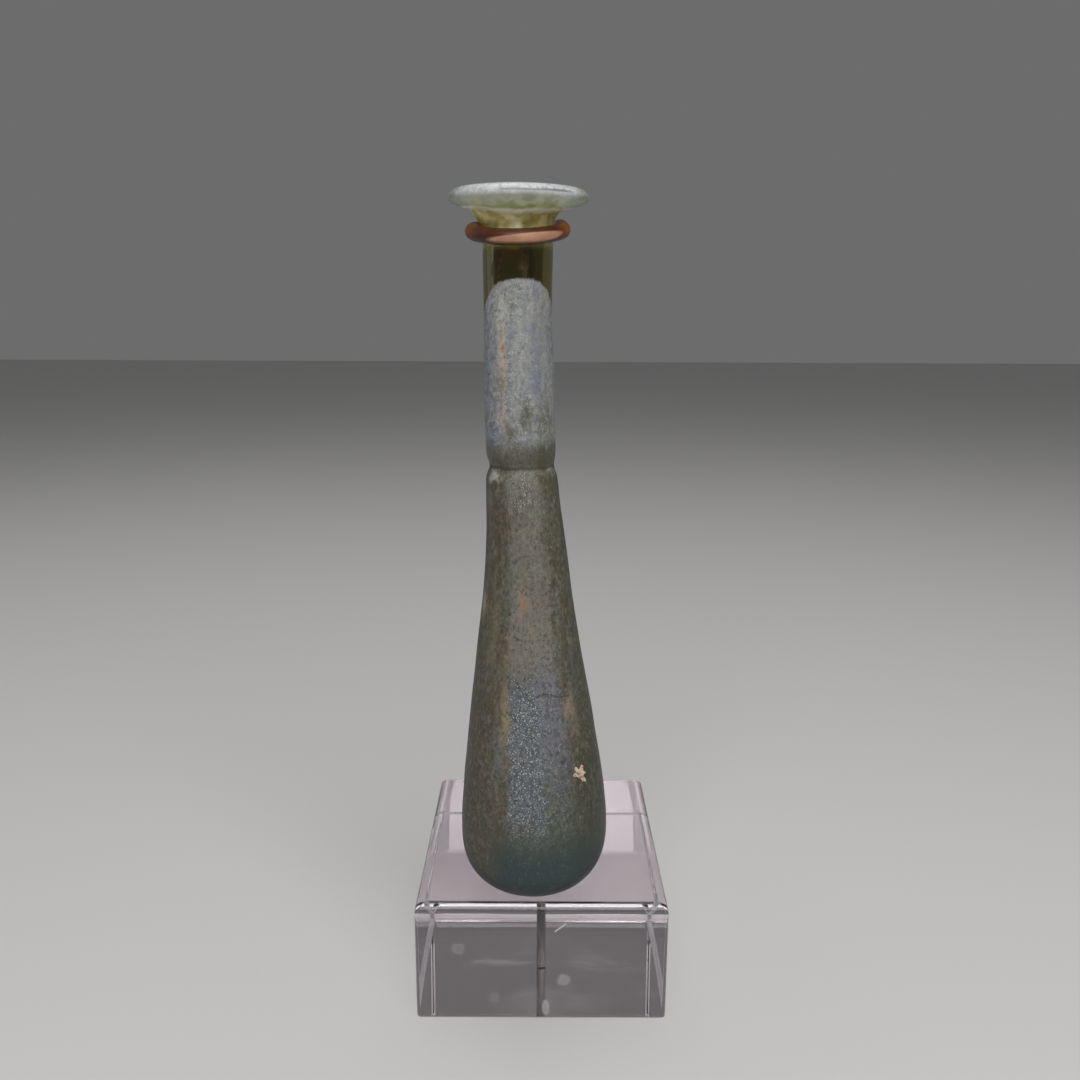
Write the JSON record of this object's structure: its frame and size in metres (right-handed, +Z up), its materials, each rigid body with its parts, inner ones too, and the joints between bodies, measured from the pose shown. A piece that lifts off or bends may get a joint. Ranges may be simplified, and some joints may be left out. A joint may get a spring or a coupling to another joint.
{
  "type": "glass perfume flask",
  "caption": "Tall blown-glass perfume flask, hollow and weathered, with a folded rim and tooled crease, held by a rubber ring on a rod in a clear block.",
  "frame": {"origin": "middle of the clear block's flat underside, under the rod", "axes": "+Z up along the flask and the rod, -Y towards the front, where the flask stands, +X to the right seen from the front"},
  "size_m": [0.05, 0.0602, 0.1592],
  "materials": {
    "weathered_glass": "olive glass under silvery grey weathering",
    "ring_rubber": "smooth, slightly glossy brown",
    "rod_steel": "drawn",
    "clear_block": "polished clear"
  },
  "bodies": {
    "root": {"flask": "weathered_glass", "neck_ring": "ring_rubber", "support_rod": "rod_steel", "stand_block": "clear_block"}
  },
  "joints": []
}
